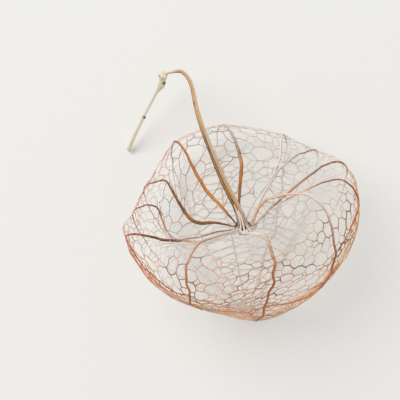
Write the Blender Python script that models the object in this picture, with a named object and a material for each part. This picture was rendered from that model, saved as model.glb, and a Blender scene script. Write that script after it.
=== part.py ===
"""A dried physalis lantern worn down to its ribs and veins, lying on its side with its stalk.

The husk is an empty cage. Twelve ribs rise from the foot of a deep dimple, turn over the rim,
run down the belly and meet again at the tip, and a net of veins spans the panels between them.
The stalk climbs out of the dimple, bends over to an old stem joint and comes down to a cut end.
"""
import math
import random
from collections import namedtuple

import bmesh
import bpy
from mathutils import Vector
from mathutils.geometry import delaunay_2d_cdt

MM = 0.001

# Pose of the husk: its foot is the bottom of the dimple, its axis points out of the dimple
FOOT = Vector((0.46, -6.99, 16.5)) * MM
AXIS_RISE = math.radians(40)
AXIS_TURN = math.radians(4)

# Ribs in order around the axis: turns in degrees and radii and heights above the foot in mm
# at the throat, rim, belly and flank, and how heavy the rib is beside the main ones
Rib = namedtuple("Rib", (
    "throat_turn rim_turn belly_turn flank_turn "
    "throat_r throat_h rim_r rim_h belly_r belly_h flank_r heft"))
RIBS = (
    Rib(10, 17, 20, 20, 9.5, 6.9, 19.1, 11.4, 24.5, 6.2, 17.2, 1.0),
    Rib(37, 36, 41, 41, 9.8, 9.6, 17.6, 11.1, 23.3, 5.3, 16.8, 0.8),
    Rib(49, 56, 62, 62, 11.2, 7.4, 17.3, 12.9, 23.5, 3.9, 16.7, 0.8),
    Rib(86, 98, 101, 101, 8.7, 9.3, 16.4, 15.5, 23.1, 4.8, 16.3, 1.0),
    Rib(138, 136, 127, 127, 9.2, 5.2, 17.4, 15.0, 23.3, 3.2, 16.7, 1.0),
    Rib(178, 164, 156, 156, 10.4, 2.7, 16.1, 10.4, 22.5, 3.6, 16.1, 1.0),
    Rib(197, 186, 179, 179, 14.6, 1.9, 18.2, 9.3, 23.1, 4.7, 16.6, 0.6),
    Rib(224, 208, 200, 200, 9.3, 3.0, 18.3, 5.9, 26.0, 7.4, 17.8, 0.9),
    Rib(248, 237, 240, 240, 6.3, 4.5, 19.1, 9.8, 24.8, 1.4, 15.9, 1.0),
    Rib(290, 285, 282, 276, 6.7, 3.9, 17.9, 10.2, 22.8, 5.7, 17.2, 1.0),
    Rib(341, 331, 321, 321, 4.9, 8.2, 17.0, 13.4, 23.1, 3.9, 17.4, 1.0),
    Rib(350, 358, 357, 357, 6.5, 6.1, 19.1, 12.2, 24.5, 5.2, 17.9, 0.6),
)
FIRST_FOOT_TURN = 10
FOOT_RADIUS = 2.3
FLANK_DROP = -10.3
TIP_RADIUS = 2.3
TIP_DROP = -23.0

# Sink of the panels between the ribs, as a share of the panel's width, from foot to tip;
# below zero a panel swells
SINK = (0.0, 0.25, 0.06, -0.03, -0.02, 0.0)
SINK_POWER = 0.9
LOOK_AHEAD = 0.01

# Net of veins
CELL = 4.0
ROW_WOBBLE = 0.24
CELL_WOBBLE = 0.22
CELL_EASE = 0.35
VEIN_SEED = 4
OUTLINE_STEPS = 400
FIRST_ROW = 0.75
LAST_ROW_GAP = 0.5
CHART_EDGE = 1.15
CHART_WELD = 1e-7
RIB_THICK = 1.5 * MM
RIB_SHARE = (0.50, 0.95, 0.95, 0.85, 0.66, 0.42)
VEIN_SHARE = 0.42
SHORTEST_BAR = 1.2 * MM
MITRE = 1.5
ROOM = 0.08

# Collar round the foot of the stalk, and the point where the ribs meet at the tip
COLLAR_RADIUS = 2.5 * MM
COLLAR_THICK = 0.6 * MM
TIP_REACH = 2.6 * MM
TIP_THICK = (2.45 * MM, 0.35 * MM)
TIP_SETBACK = 0.3
WELD = 1e-6

# Middle lines from the husk's foot: x, y, z and radius in mm
PEDICEL = (
    (0.0, -0.2, -0.3, 1.5),
    (-0.3, 1.6, 1.0, 1.2),
    (-1.3, 4.3, 2.2, 0.98),
    (-4.5, 10.6, 4.3, 0.85),
    (-8.3, 20.0, 5.8, 0.75),
    (-9.9, 25.2, 4.8, 0.68),
    (-11.0, 30.3, 2.8, 0.62),
    (-12.7, 33.0, 1.0, 0.62),
    (-14.5, 33.1, -0.4, 0.62),
    (-16.9, 32.6, -2.4, 0.66),
)
OLD_STEM = (
    (-17.0, 32.4, -2.6, 0.70),
    (-17.6, 30.4, -4.3, 0.62),
    (-19.8, 27.8, -6.7, 0.42),
    (-21.5, 24.1, -9.6, 0.42),
    (-24.0, 19.4, -13.4, 0.46),
    (-25.0, 17.1, -15.45, 0.52),
)
JOINT_MIDDLE = Vector((-17.1, 32.2, -2.9)) * MM
JOINT_SIZE = Vector((0.9, 1.35, 1.1)) * MM
BUD_MIDDLE = Vector((-21.7, 24.0, -9.4)) * MM
BUD_SIZE = Vector((0.6, 0.75, 0.6)) * MM
STEPS_A_SPAN = 4

# The underside is pressed softly onto the surface, then trimmed flat where it touches
REST_HEIGHT = 0.36 * MM
REST_SOFTNESS = 0.5 * MM
FLOOR_DEPTH = 4 * MM
FLOOR_WIDTH = 100 * MM


def clear_scene():
    """Remove whatever the new file holds."""
    for item in list(bpy.data.objects):
        bpy.data.objects.remove(item, do_unlink=True)


def make_collection(name):
    """A named collection under the scene."""
    group = bpy.data.collections.new(name)
    bpy.context.scene.collection.children.link(group)
    return group


def make_material(name, colour, roughness):
    """A plain dry plant surface."""
    material = bpy.data.materials.new(name)
    material.use_nodes = True
    shader = material.node_tree.nodes["Principled BSDF"]
    shader.inputs["Base Color"].default_value = (*colour, 1.0)
    shader.inputs["Roughness"].default_value = roughness
    shader.inputs["Metallic"].default_value = 0.0
    return material


def blend(before, start, end, after, share):
    """Catmull-Rom curve from start to end."""
    return 0.5 * (
        2 * start
        + (end - before) * share
        + (2 * before - 5 * start + 4 * end - after) * share ** 2
        + (3 * start - before - 3 * end + after) * share ** 3
    )


def along(points, place):
    """Point at a place from 0 to 1 on the smooth curve through the points."""
    spans = len(points) - 1
    span = min(int(place * spans), spans - 1)
    padded = [2 * points[0] - points[1], *points, 2 * points[-1] - points[-2]]
    return blend(*padded[span:span + 4], place * spans - span)


def rib_outline(index):
    """Guide points of one rib from foot to tip: radius, height and turn."""
    laps, number = divmod(index, len(RIBS))
    rib = RIBS[number]
    lap = 360.0 * laps
    return [
        Vector((FOOT_RADIUS, 0.0, FIRST_FOOT_TURN + 360.0 * index / len(RIBS))),
        Vector((rib.throat_r, rib.throat_h, rib.throat_turn + lap)),
        Vector((rib.rim_r, rib.rim_h, rib.rim_turn + lap)),
        Vector((rib.belly_r, rib.belly_h, rib.belly_turn + lap)),
        Vector((rib.flank_r, FLANK_DROP, rib.flank_turn + lap)),
        Vector((TIP_RADIUS, TIP_DROP, rib.flank_turn + lap)),
    ]


def panel_outline(around):
    """Guide points of the smooth outline at a place around the husk, counted in ribs."""
    first = math.floor(around)
    near = [rib_outline(index) for index in range(first - 1, first + 3)]
    return [blend(*guides, around - first) for guides in zip(*near)]


AXIS = Vector((
    -math.sin(AXIS_TURN) * math.cos(AXIS_RISE),
    math.cos(AXIS_TURN) * math.cos(AXIS_RISE),
    math.sin(AXIS_RISE),
))
SIDE = Vector((math.cos(AXIS_TURN), math.sin(AXIS_TURN), 0.0))
BACK = AXIS.cross(SIDE)


def place(radius, height, turn):
    """World point from cylinder coordinates about the husk's axis, in mm and degrees."""
    angle = math.radians(turn)
    outward = math.cos(angle) * SIDE + math.sin(angle) * BACK
    return FOOT + (radius * outward + height * AXIS) * MM


def press(point):
    """Lift a point that would sink below the surface the husk lies on."""
    depth = (point.z - REST_HEIGHT) / REST_SOFTNESS
    point.z += REST_SOFTNESS * math.log1p(math.exp(-depth))
    return point


def husk_point(around, down):
    """World point on the husk, around in ribs and down from 0 at the foot to 1 at the tip."""
    outline = panel_outline(around)
    radius, height, turn = along(outline, down)
    first = math.floor(around)
    edges = [along(panel_outline(index), down) for index in (first, first + 1)]
    width = radius * math.radians(edges[1].z - edges[0].z)
    ahead = along(outline, min(down + LOOK_AHEAD, 1.0)) - along(outline, max(down - LOOK_AHEAD, 0.0))
    length = math.hypot(ahead.x, ahead.y)
    sink = along(SINK, down) * width * math.sin(math.pi * (around - first)) ** SINK_POWER
    radius += sink * ahead.y / length
    height -= sink * ahead.x / length
    return press(place(radius, height, turn))


def row_places():
    """Places of the net's rows from foot to tip, an even cell apart on the mean outline."""
    steps = OUTLINE_STEPS
    outlines = [rib_outline(index) for index in range(len(RIBS))]
    guides = [sum(points, Vector((0, 0, 0))) / len(RIBS) for points in zip(*outlines)]
    line = [along(guides, step / steps) for step in range(steps + 1)]
    lengths = [0.0]
    for start, end in zip(line, line[1:]):
        lengths.append(lengths[-1] + (end - start).to_2d().length)
    rows = round(lengths[-1] / CELL)
    places = []
    for row in range(rows):
        goal = lengths[-1] * (row + FIRST_ROW) / (rows + LAST_ROW_GAP)
        places.append(next(i for i, length in enumerate(lengths) if length >= goal) / steps)
    return places


def chart(around, down):
    """Flat chart of the husk for the triangulation: the tip is in the middle."""
    angle = math.tau * around / len(RIBS)
    reach = CHART_EDGE - down
    return Vector((math.cos(angle), math.sin(angle))) * reach


def net_seeds(rows):
    """Middles of the cells, and the links that keep a row of cells on each side of a rib."""
    draw = random.Random(VEIN_SEED)
    seeds, links, beside = [], [], {}
    count = len(RIBS)
    for row, down in enumerate(rows):
        gap = 0.5 * (rows[min(row + 1, len(rows) - 1)] - rows[max(row - 1, 0)])
        calm = 0 < row < len(rows) - 1
        rib_rows = [down + calm * draw.uniform(-1, 1) * ROW_WOBBLE * gap for _ in range(count)]
        for panel in range(count):
            width = (husk_point(panel + 1, down) - husk_point(panel, down)).length / MM
            cells = max(1, round(width / CELL)) if calm else 1
            for cell in range(cells):
                around = (cell + 0.5) / cells
                level = rib_rows[panel] * (1 - around) + rib_rows[(panel + 1) % count] * around
                if 0 < cell < cells - 1:
                    around += draw.uniform(-1, 1) * CELL_WOBBLE / cells
                    level += draw.uniform(-1, 1) * CELL_WOBBLE * gap
                if cell == 0:
                    beside[row, panel, "right"] = len(seeds)
                if cell == cells - 1:
                    beside[row, panel, "left"] = len(seeds)
                seeds.append((panel + around, level))
    for row in range(len(rows)):
        for panel in range(count):
            left = beside[row, (panel - 1) % count, "left"]
            right = beside[row, panel, "right"]
            links.append((left, right))
            if row:
                links.append((beside[row - 1, (panel - 1) % count, "left"], left))
                links.append((beside[row - 1, panel, "right"], right))
    return seeds, sorted({tuple(sorted(link)) for link in links if link[0] != link[1]})


def corner_of(cells, seeds):
    """Junction of the veins between three cells, put on the rib where they cross one."""
    count = len(RIBS)
    arounds = [seeds[cell][0] for cell in cells if seeds[cell][0] is not None]
    arounds = [arounds[0] + (a - arounds[0] + count / 2) % count - count / 2 for a in arounds]
    panels = {math.floor(a) for a in arounds}
    on_rib = len(panels) > 1
    around = float(max(panels)) if on_rib else sum(arounds) / len(arounds)
    ends = [seeds[cell][1] for cell in cells if seeds[cell][0] is None]
    down = ends[0] if ends else sum(seeds[cell][1] for cell in cells) / len(cells)
    return [around, down, on_rib]


def cell_triangles(seeds, links):
    """Triangles between the middles of neighbouring cells, with a cell at the tip and the foot."""
    count = len(RIBS)
    flat = [chart(*seed) for seed in seeds]
    points, _, triangles, *_ = delaunay_2d_cdt(flat, links, [], 0, CHART_WELD)
    if len(points) != len(seeds):
        raise ValueError("two cells of the net meet")
    first_row = range(count)
    last_row = range(len(seeds) - count, len(seeds))
    triangles = [tuple(cells) for cells in triangles if not set(cells) <= set(last_row)]
    tip, foot = len(seeds), len(seeds) + 1
    seeds.extend([(None, 1.0), (None, 0.0)])
    for step in range(count):
        following = (step + 1) % count
        triangles.append((last_row[step], last_row[following], tip))
        triangles.append((first_row[following], first_row[step], foot))
    return triangles


def cell_rings(triangles):
    """Corners of each cell in order: the triangles that stand around its middle."""
    turns = {}
    for index, cells in enumerate(triangles):
        for step in range(3):
            middle, start, end = cells[step], cells[(step + 1) % 3], cells[(step + 2) % 3]
            turns.setdefault(middle, {})[start] = (end, index)
    rings = []
    for steps in turns.values():
        start = next(iter(steps))
        ring, at = [], start
        while not ring or at != start:
            at, index = steps[at]
            ring.append(index)
        rings.append(ring)
    return rings


def round_cells(corners, rings):
    """Ease the junctions off the ribs towards their neighbours."""
    count = len(RIBS)
    beside = [set() for _ in corners]
    for ring in rings:
        for start, end in zip(ring, ring[1:] + ring[:1]):
            beside[start].add(end)
            beside[end].add(start)
    for index, (around, down, on_rib) in enumerate(corners):
        if on_rib:
            continue
        shifts = [(corners[i][0] - around + count / 2) % count - count / 2 for i in beside[index]]
        downs = [corners[i][1] for i in beside[index]]
        corners[index][0] = around + CELL_EASE * sum(shifts) / len(shifts)
        corners[index][1] = down + CELL_EASE * (sum(downs) / len(downs) - down)


def cell_corner(loop, half):
    """Corner of the hole in a cell, half a bar in from both edges that meet there."""
    normal = loop.vert.normal
    sides = []
    for other, sign in ((loop.link_loop_next.vert, 1), (loop.link_loop_prev.vert, -1)):
        edge = other.co - loop.vert.co
        sides.append(sign * normal.cross(edge).normalized())
    inward = (sides[0] + sides[1]).normalized()
    reach = half / max(inward.dot(sides[0]), 1 / MITRE)
    return loop.vert.co + reach * inward


def weld(sheet, heft, edge):
    """Merge the two ends of an edge, on the heavier one."""
    start, end = edge.verts
    if end[heft] > start[heft]:
        start, end = end, start
    middle = start.co if start[heft] > end[heft] else (start.co + end.co) / 2
    start.co = middle
    end.co = middle
    bmesh.ops.weld_verts(sheet, targetmap={end: start})


def merge_close_junctions(sheet, heft):
    """Merge the ends of each bar that is too short, or leaves its cell no room for a hole."""
    while True:
        sheet.normal_update()
        short = [edge for edge in sheet.edges if edge.calc_length() < SHORTEST_BAR]
        tight = [edge for edge in sheet.edges if any(no_room(loop, heft) for loop in edge.link_loops)]
        if not short and not tight:
            return
        weld(sheet, heft, min(short or tight, key=lambda edge: edge.calc_length()))


def no_room(loop, heft):
    """Whether the side of the hole along this edge would turn round."""
    along_edge = loop.link_loop_next.vert.co - loop.vert.co
    corners = [cell_corner(end, 0.5 * RIB_THICK * end.vert[heft]) for end in (loop, loop.link_loop_next)]
    return (corners[1] - corners[0]).dot(along_edge) < ROOM * along_edge.length_squared


def bars_between(sheet, heft):
    """Bars along the edges of the cells, four-sided with a ridge inside and out."""
    cage = bmesh.new()
    outer, inner = {}, {}
    for point in sheet.verts:
        half = 0.5 * RIB_THICK * point[heft]
        outer[point] = cage.verts.new(point.co + half * point.normal)
        inner[point] = cage.verts.new(point.co - half * point.normal)
    for cell in sheet.faces:
        hole = [cage.verts.new(cell_corner(loop, 0.5 * RIB_THICK * loop.vert[heft])) for loop in cell.loops]
        for step, start in enumerate(cell.verts):
            following = (step + 1) % len(hole)
            end = cell.verts[following]
            cage.faces.new((outer[start], outer[end], hole[following], hole[step]))
            cage.faces.new((inner[end], inner[start], hole[step], hole[following]))
    return cage


def make_net():
    """Cage of ribs and veins: a sheet of many-sided cells whose edges are made into bars."""
    seeds, links = net_seeds(row_places())
    triangles = cell_triangles(seeds, links)
    corners = [corner_of(cells, seeds) for cells in triangles]
    rings = cell_rings(triangles)
    round_cells(corners, rings)
    sheet = bmesh.new()
    heft = sheet.verts.layers.float.new("heft")
    points = []
    for around, down, on_rib in corners:
        point = sheet.verts.new(husk_point(around, down))
        point[heft] = VEIN_SHARE
        if on_rib:
            rib = RIBS[int(around) % len(RIBS)]
            point[heft] = max(VEIN_SHARE, along(RIB_SHARE, down) * rib.heft)
        points.append(point)
    for ring in rings:
        sheet.faces.new([points[index] for index in ring])
    bmesh.ops.recalc_face_normals(sheet, faces=sheet.faces)
    merge_close_junctions(sheet, heft)
    cage = bars_between(sheet, heft)
    sheet.free()
    mesh = bpy.data.meshes.new("husk")
    cage.to_mesh(mesh)
    cage.free()
    return bpy.data.objects.new("husk", mesh)


def make_ball(name, middle, size, group):
    """A small rounded lump."""
    bpy.ops.mesh.primitive_uv_sphere_add(segments=12, ring_count=8, radius=1.0, location=middle)
    ball = bpy.context.object
    ball.name = name
    ball.scale = size
    move_to(ball, group)
    return ball


def make_stem(name, points, group):
    """A round stem that thickens and thins along a smooth middle line."""
    guides = [Vector(point) for point in points]
    steps = STEPS_A_SPAN * (len(guides) - 1)
    curve = bpy.data.curves.new(name, "CURVE")
    curve.dimensions = "3D"
    curve.bevel_depth = MM
    curve.bevel_resolution = 3
    curve.use_fill_caps = True
    line = curve.splines.new("POLY")
    line.points.add(steps)
    for step, point in enumerate(line.points):
        x, y, z, radius = along(guides, step / steps)
        point.co = (*(FOOT + Vector((x, y, z)) * MM), 1.0)
        point.radius = radius
    rod = bpy.data.objects.new(name, curve)
    group.objects.link(rod)
    return rod


def move_to(item, group):
    """Put an object in one collection only."""
    for old in list(item.users_collection):
        old.objects.unlink(item)
    group.objects.link(item)


def as_mesh(item, group):
    """A mesh object in world space with the item's evaluated shape, caps welded on."""
    bpy.context.view_layer.update()
    graph = bpy.context.evaluated_depsgraph_get()
    mesh = bpy.data.meshes.new_from_object(item.evaluated_get(graph))
    mesh.transform(item.matrix_world)
    shape = bmesh.new()
    shape.from_mesh(mesh)
    bmesh.ops.remove_doubles(shape, verts=shape.verts, dist=WELD)
    shape.to_mesh(mesh)
    shape.free()
    name = item.name
    bpy.data.objects.remove(item, do_unlink=True)
    solid = bpy.data.objects.new(name, mesh)
    group.objects.link(solid)
    return solid


def join(item, pieces, group):
    """Grow the pieces of a collection together with an item, then drop the collection."""
    union = item.modifiers.new("union", "BOOLEAN")
    union.operation = "UNION"
    union.operand_type = "COLLECTION"
    union.collection = pieces
    union.solver = "MANIFOLD"
    solid = as_mesh(item, group)
    for piece in list(pieces.objects):
        bpy.data.objects.remove(piece, do_unlink=True)
    bpy.data.collections.remove(pieces)
    return solid


def make_husk(group):
    """The cage with its collar at the foot and its point at the tip."""
    ends = make_collection("husk_ends")
    bpy.ops.mesh.primitive_torus_add(
        major_radius=COLLAR_RADIUS, minor_radius=COLLAR_THICK,
        major_segments=30, minor_segments=8,
        location=FOOT, rotation=AXIS.to_track_quat("Z", "Y").to_euler(),
    )
    collar = bpy.context.object
    collar.name = "collar"
    move_to(collar, ends)
    bpy.ops.mesh.primitive_cone_add(
        vertices=12, radius1=TIP_THICK[0], radius2=TIP_THICK[1], depth=TIP_REACH,
        location=FOOT + (TIP_DROP * MM - TIP_SETBACK * TIP_REACH) * AXIS,
        rotation=(-AXIS).to_track_quat("Z", "Y").to_euler(),
    )
    point = bpy.context.object
    point.name = "point"
    move_to(point, ends)
    for name in ("collar", "point"):
        as_mesh(bpy.data.objects[name], ends)
    husk = make_net()
    group.objects.link(husk)
    husk = as_mesh(husk, group)
    return join(husk, ends, group)


def make_stalk(group):
    """Pedicel, old stem joint and the length of old stem below it, grown as one."""
    growth = make_collection("stalk_growth")
    as_mesh(make_stem("old_stem", OLD_STEM, growth), growth)
    as_mesh(make_ball("joint", FOOT + JOINT_MIDDLE, JOINT_SIZE, growth), growth)
    as_mesh(make_ball("bud", FOOT + BUD_MIDDLE, BUD_SIZE, growth), growth)
    stalk = as_mesh(make_stem("stalk", PEDICEL, group), group)
    return join(stalk, growth, group)


def rest_on_floor(item, cutters):
    """Trim the item flat where it lies on the surface."""
    bpy.ops.mesh.primitive_cube_add(size=1.0, location=(0, 0, -FLOOR_DEPTH / 2))
    floor = bpy.context.object
    floor.name = "floor_cutter"
    floor.scale = (FLOOR_WIDTH, FLOOR_WIDTH, FLOOR_DEPTH)
    floor.hide_render = True
    floor.display_type = "WIRE"
    move_to(floor, cutters)
    trim = item.modifiers.new("flat_rest", "BOOLEAN")
    trim.object = floor
    trim.operation = "DIFFERENCE"
    trim.solver = "MANIFOLD"


def main():
    clear_scene()
    lantern = make_collection("physalis_lantern")
    cutters = make_collection("cutters")
    husk = make_husk(lantern)
    rest_on_floor(husk, cutters)
    husk.data.materials.append(make_material("dry_vein", (0.58, 0.33, 0.17), 0.7))
    stalk = make_stalk(lantern)
    stalk.data.materials.append(make_material("dry_stalk", (0.62, 0.48, 0.33), 0.75))
    stalk.data.shade_smooth()


if __name__ == "__main__":
    main()
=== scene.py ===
# %% [markdown]
# # A physalis lantern worn down to its veins
# The lantern of a physalis is a papery husk. After a winter outdoors the skin between its
# veins is gone, and a cage of ribs and fine veins is left, still hung on its stalk.
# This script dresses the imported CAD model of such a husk: the coarse net of the model
# gives its place to a fine one, and the plain stalk to one with ridges, scars and a knob.

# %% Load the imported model
import heapq
import math
import random
from collections import namedtuple

import bmesh
import bpy
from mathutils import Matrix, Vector, noise
from mathutils.geometry import delaunay_2d_cdt


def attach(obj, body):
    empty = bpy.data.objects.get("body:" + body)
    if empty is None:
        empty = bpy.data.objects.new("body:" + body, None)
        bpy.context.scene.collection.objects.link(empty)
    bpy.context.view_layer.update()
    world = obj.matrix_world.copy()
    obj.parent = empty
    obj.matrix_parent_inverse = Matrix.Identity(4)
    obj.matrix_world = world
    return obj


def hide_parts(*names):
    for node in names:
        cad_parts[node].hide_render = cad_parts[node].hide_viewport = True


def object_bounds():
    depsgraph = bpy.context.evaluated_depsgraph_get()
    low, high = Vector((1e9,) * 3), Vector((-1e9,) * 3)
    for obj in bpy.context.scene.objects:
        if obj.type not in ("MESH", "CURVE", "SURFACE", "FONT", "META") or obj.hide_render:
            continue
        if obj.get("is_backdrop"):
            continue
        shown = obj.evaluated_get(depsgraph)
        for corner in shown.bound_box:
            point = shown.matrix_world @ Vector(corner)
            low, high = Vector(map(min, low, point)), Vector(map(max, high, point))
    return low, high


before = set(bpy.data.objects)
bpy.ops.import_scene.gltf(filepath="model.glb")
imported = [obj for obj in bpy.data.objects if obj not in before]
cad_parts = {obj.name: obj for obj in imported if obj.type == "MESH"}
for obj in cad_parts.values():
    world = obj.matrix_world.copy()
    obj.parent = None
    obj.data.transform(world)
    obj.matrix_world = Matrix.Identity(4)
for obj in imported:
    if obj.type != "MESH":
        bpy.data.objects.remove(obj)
cad_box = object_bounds()
MM = 0.001
print("nodes of the model:", sorted(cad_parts))

# %% [markdown]
# ## Table, camera and light
# The husk lies on a pale sheet and is looked at from above. The camera hangs over the
# husk's foot, the deepest point of its dimple, and looks straight down, so north in the
# picture is +Y. A broad lamp at the upper left gives the soft shadow at the lower right,
# and a bright even sky fills the rest, as in a daylight studio.

# %% Camera over the husk
FOOT = Vector((0.46, -6.99, 16.5)) * MM
CAMERA_FROM_FOOT = Vector((-9.15, 5.96, 315.0)) * MM
LENS = 133.2
SENSOR = 36.0
NEAREST = 0.01

camera_data = bpy.data.cameras.new("camera")
camera_data.lens = LENS
camera_data.sensor_width = SENSOR
camera_data.clip_start = NEAREST
camera = bpy.data.objects.new("camera", camera_data)
camera.location = FOOT + CAMERA_FROM_FOOT
bpy.context.scene.collection.objects.link(camera)
bpy.context.scene.camera = camera
print("camera at", tuple(round(value, 4) for value in camera.location))

# %% Sheet, lamp and sky
SHEET_SIZE = 3.0
LAMP_PLACE = Vector((-1.0, 0.8, 1.9))
LAMP_SIZE = 1.6
LAMP_POWER = 32.5
LAMP_COLOUR = (1.0, 0.985, 0.96)
SKY_STRENGTH = 0.505
SKY_COLOUR = (0.97, 0.985, 1.0, 1.0)


def add_mesh(name, points, faces):
    """A mesh object from plain lists, with its place in its mesh."""
    mesh = bpy.data.meshes.new(name)
    mesh.from_pydata([tuple(point) for point in points], [], faces)
    item = bpy.data.objects.new(name, mesh)
    bpy.context.scene.collection.objects.link(item)
    return item


reach = SHEET_SIZE / 2
corners = [(-reach, -reach, 0), (reach, -reach, 0), (reach, reach, 0), (-reach, reach, 0)]
sheet = add_mesh("sheet", corners, [(0, 1, 2, 3)])
sheet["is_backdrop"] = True

lamp_data = bpy.data.lights.new("lamp", "AREA")
lamp_data.shape = "DISK"
lamp_data.size = LAMP_SIZE
lamp_data.energy = LAMP_POWER
lamp_data.color = LAMP_COLOUR
lamp = bpy.data.objects.new("lamp", lamp_data)
lamp.location = LAMP_PLACE
lamp.rotation_euler = (-LAMP_PLACE).to_track_quat("-Z", "Y").to_euler()
bpy.context.scene.collection.objects.link(lamp)

sky = bpy.data.worlds.new("sky")
sky.use_nodes = True
background = sky.node_tree.nodes["Background"]
background.inputs["Color"].default_value = SKY_COLOUR
background.inputs["Strength"].default_value = SKY_STRENGTH
bpy.context.scene.world = sky
bpy.context.scene.view_settings.view_transform = "Standard"
print("lamp of", LAMP_POWER, "W and sky of", SKY_STRENGTH)

# %% [markdown]
# ## Shader maths in plain expressions
# A finish is easier to read as `brown * (1 - wear)` than as boxes and wires. The class
# below wraps one output socket, and each operator adds the node that works it out.

# %% A socket that can be reckoned with
class Wire:
    """An output socket of a shader or geometry tree, with arithmetic."""

    def __init__(self, tree, socket):
        self.tree = tree
        self.socket = socket

    def _math(self, operation, first, second=None):
        node = self.tree.nodes.new("ShaderNodeMath")
        node.operation = operation
        for slot, value in zip(node.inputs, (first, second)):
            connect(self.tree, slot, value)
        return Wire(self.tree, node.outputs[0])

    def __add__(self, other):
        return self._math("ADD", self, other)

    __radd__ = __add__

    def __sub__(self, other):
        return self._math("SUBTRACT", self, other)

    def __rsub__(self, other):
        return self._math("SUBTRACT", other, self)

    def __mul__(self, other):
        return self._math("MULTIPLY", self, other)

    __rmul__ = __mul__

    def __truediv__(self, other):
        return self._math("DIVIDE", self, other)

    def __abs__(self):
        return self._math("ABSOLUTE", self)

    def cos(self):
        return self._math("COSINE", self)

    def held(self):
        """The value kept between 0 and 1."""
        return new_node(self.tree, "ShaderNodeClamp", {}, {"Value": self})

    def ramp(self, start, end):
        """0 below start and 1 above end, with soft shoulders."""
        settings = {"interpolation_type": "SMOOTHSTEP"}
        values = {"Value": self, "From Min": start, "From Max": end}
        return new_node(self.tree, "ShaderNodeMapRange", settings, values)


def connect(tree, slot, value):
    """Link a wire to a socket, or set the socket's own value."""
    if isinstance(value, Wire):
        tree.links.new(value.socket, slot)
    elif value is not None:
        slot.default_value = value


def new_node(tree, kind, settings, values, output=0):
    """A node of any type, with its settings and the values or links of its sockets."""
    node = tree.nodes.new(kind)
    for name, value in settings.items():
        setattr(node, name, value)
    for name, value in values.items():
        connect(tree, node.inputs[name], value)
    return Wire(tree, node.outputs[output])


def srgb(text):
    """Six hex digits as the linear values that shaders use, by the formula of sRGB."""
    linear = []
    for start in (0, 2, 4):
        part = int(text[start:start + 2], 16) / 255
        linear.append(part / 12.92 if part <= 0.04045 else ((part + 0.055) / 1.055) ** 2.4)
    return (*linear, 1.0)


def mixed(tree, share, first, second):
    """Colour between two colours, wires or hex digits, by a share from 0 to 1.

    The sockets go by number, because those for numbers, vectors and colours share names.
    """
    node = tree.nodes.new("ShaderNodeMix")
    node.data_type = "RGBA"
    factor, colour_a, colour_b = (node.inputs[number] for number in (0, 6, 7))
    connect(tree, factor, share)
    for slot, colour in ((colour_a, first), (colour_b, second)):
        connect(tree, slot, srgb(colour) if isinstance(colour, str) else colour)
    return Wire(tree, node.outputs[2])


def new_finish(name):
    """A material with its tree, its Principled shader and its Object coordinates."""
    material = bpy.data.materials.new(name)
    material.use_nodes = True
    tree = material.node_tree
    shader = tree.nodes["Principled BSDF"]
    where = new_node(tree, "ShaderNodeTexCoord", {}, {}, "Object")
    return material, tree, shader, where


def speckle(tree, where, scale):
    """Noise from 0 to 1 over the object's own coordinates."""
    values = {"Vector": where, "Scale": scale, "Detail": 3.0, "Roughness": 0.6}
    return new_node(tree, "ShaderNodeTexNoise", {}, values, "Fac")


def attribute(tree, name):
    """A number that the mesh carries at each point."""
    return new_node(tree, "ShaderNodeAttribute", {"attribute_name": name}, {}, "Fac")


SMOOTHEST = 0.5
ROUGHER = 0.3


def dress(tree, shader, colour, fleck, bump, depth):
    """Give dry tissue its colour, and the fleck that sets its roughness and fine bump."""
    connect(tree, shader.inputs["Base Color"], colour)
    connect(tree, shader.inputs["Roughness"], SMOOTHEST + fleck * ROUGHER)
    values = {"Height": fleck, "Strength": bump, "Distance": depth}
    connect(tree, shader.inputs["Normal"], new_node(tree, "ShaderNodeBump", {}, values))


print("the hex colour 808080 is", round(srgb("808080")[0], 3), "in linear light")

# %% [markdown]
# ## The sheet's finish
# Drawing paper is nearly even. A fine noise between two close whites keeps it from
# looking like plastic, and a high roughness keeps the lamp's glint off it.

# %% Pale paper
PAPER_GRAIN = 900.0
PAPER_ROUGHNESS = 0.9

paper, tree, shader, where = new_finish("pale_sheet")
connect(tree, shader.inputs["Roughness"], PAPER_ROUGHNESS)
grain = speckle(tree, where, PAPER_GRAIN)
connect(tree, shader.inputs["Base Color"], mixed(tree, grain, "f1f0ec", "f4f3f0"))
sheet.data.materials.append(paper)
print("finish", paper.name)

# %% [markdown]
# ## Form of the husk
# The whole husk follows one rule. Twelve ribs are curves through six guide points each:
# the foot, the dimple's wall, the rim, the belly, the flank and the tip. A panel between
# two ribs sinks towards the axis in its middle. The same values made the CAD model, so
# whatever is placed by `husk_point` lies on the husk. `skin_point` adds the slight
# buckling of dried tissue, and ribs and veins share it, so they never part.
# Places on the husk are given by `around`, counted in ribs, and `down`, from 0 at the
# foot to 1 at the tip. Radii and heights are in mm from the foot, turns in degrees.

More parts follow.
